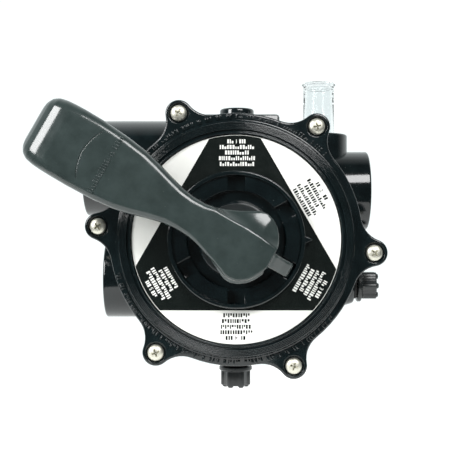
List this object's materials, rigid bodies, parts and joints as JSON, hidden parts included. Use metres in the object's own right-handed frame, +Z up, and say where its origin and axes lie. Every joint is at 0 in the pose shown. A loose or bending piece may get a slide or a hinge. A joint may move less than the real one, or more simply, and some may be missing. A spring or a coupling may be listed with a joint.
{
  "type": "multiport valve",
  "caption": "Side-mount selector valve: lobed screwed cover, press-and-turn handle over a position label, rear and side pipe ports, clear sight glass and hand plugs.",
  "frame": {"origin": "midpoint between the two rear tank ports, in the plane of their faces, on the axis that the handle turns about", "axes": "+Y points out of the rear tank ports towards the filter tank, so the cover and handle face -Y; +Z is up, the way the sight glass points; +X is to the right as seen from the handle side"},
  "size_m": [0.2609, 0.187, 0.2412],
  "materials": {
    "black_abs": "glossy moulded black ABS",
    "black_abs_inner": "moulded black ABS",
    "black_abs_plug": "satin moulded black ABS",
    "charcoal_abs": "satin charcoal-black ABS",
    "stainless_steel": "satin stainless steel",
    "rubber": "matte black rubber",
    "clear_plastic": "clear polycarbonate",
    "label_film": "printed black and white film",
    "acetal": "natural acetal"
  },
  "bodies": {
    "valve": {"valve_body": "black_abs", "sector_walls": "black_abs", "waste_port": "black_abs", "return_port": "black_abs", "pump_port": "black_abs", "tank_port_upper": "black_abs", "tank_port_lower": "black_abs", "spider_gasket": "rubber", "cover": "black_abs", "cover_o_ring": "rubber", "position_label": "label_film", "cover_screw_1": "stainless_steel", "cover_screw_2": "stainless_steel", "cover_screw_3": "stainless_steel", "cover_screw_4": "stainless_steel", "cover_screw_5": "stainless_steel", "cover_screw_6": "stainless_steel", "cover_nut_1": "stainless_steel", "cover_nut_2": "stainless_steel", "cover_nut_3": "stainless_steel", "cover_nut_4": "stainless_steel", "cover_nut_5": "stainless_steel", "cover_nut_6": "stainless_steel", "cover_washer_1": "stainless_steel", "cover_washer_2": "stainless_steel", "cover_washer_3": "stainless_steel", "cover_washer_4": "stainless_steel", "cover_washer_5": "stainless_steel", "cover_washer_6": "stainless_steel", "sight_glass": "clear_plastic", "sight_glass_o_ring": "rubber", "spring_washer_upper": "stainless_steel"},
    "thrust_washer": {"thrust_washer": "acetal"},
    "stem": {"rotor": "black_abs_inner", "handle_pin": "stainless_steel", "stem_o_ring_lower": "rubber", "stem_o_ring_upper": "rubber", "spring_washer_lower": "stainless_steel", "spring": "stainless_steel"},
    "handle": {"handle": "charcoal_abs"},
    "drain_plug_seal": {"drain_plug_o_ring": "rubber"},
    "drain_plug": {"drain_plug": "black_abs_plug"},
    "side_plug_seal": {"side_plug_o_ring": "rubber"},
    "side_plug": {"side_plug": "black_abs_plug"}
  },
  "joints": [
    {"name": "selector_turn", "type": "hinge", "parent": "valve", "child": "thrust_washer", "pos_m": [0, 0, 0], "axis": [0, -1, 0], "continuous": true},
    {"name": "stem_lift", "type": "slide", "parent": "thrust_washer", "child": "stem", "axis": [0, -1, 0], "range_m": [0, 0.0051], "stiffness_N_per_m": 3000, "springref_m": -0.01, "deforming": ["spring"]},
    {"name": "handle_press", "type": "hinge", "parent": "stem", "child": "handle", "pos_m": [0, -0.17, 0], "axis": [-0.5, 0, -0.866], "range_deg": [0, 12]},
    {"name": "drain_plug_out", "type": "slide", "parent": "valve", "child": "drain_plug_seal", "axis": [0, 0, -1], "range_m": [0, 0.008]},
    {"name": "drain_plug_turn", "type": "hinge", "parent": "drain_plug_seal", "child": "drain_plug", "pos_m": [0, -0.07, -0.098], "axis": [0, 0, -1], "range_deg": [0, 1153]},
    {"name": "side_plug_out", "type": "slide", "parent": "valve", "child": "side_plug_seal", "axis": [1, 0, 0], "range_m": [0, 0.008]},
    {"name": "side_plug_turn", "type": "hinge", "parent": "side_plug_seal", "child": "side_plug", "pos_m": [0.093, -0.07, -0.037], "axis": [1, 0, 0], "range_deg": [0, 1153]}
  ],
  "couplings": [
    {"joint": "stem_lift", "follows": "handle_press", "m_per_rad": 0.024},
    {"joint": "drain_plug_turn", "follows": "drain_plug_out", "rad_per_m": 2513.3},
    {"joint": "side_plug_turn", "follows": "side_plug_out", "rad_per_m": 2513.3}
  ]
}
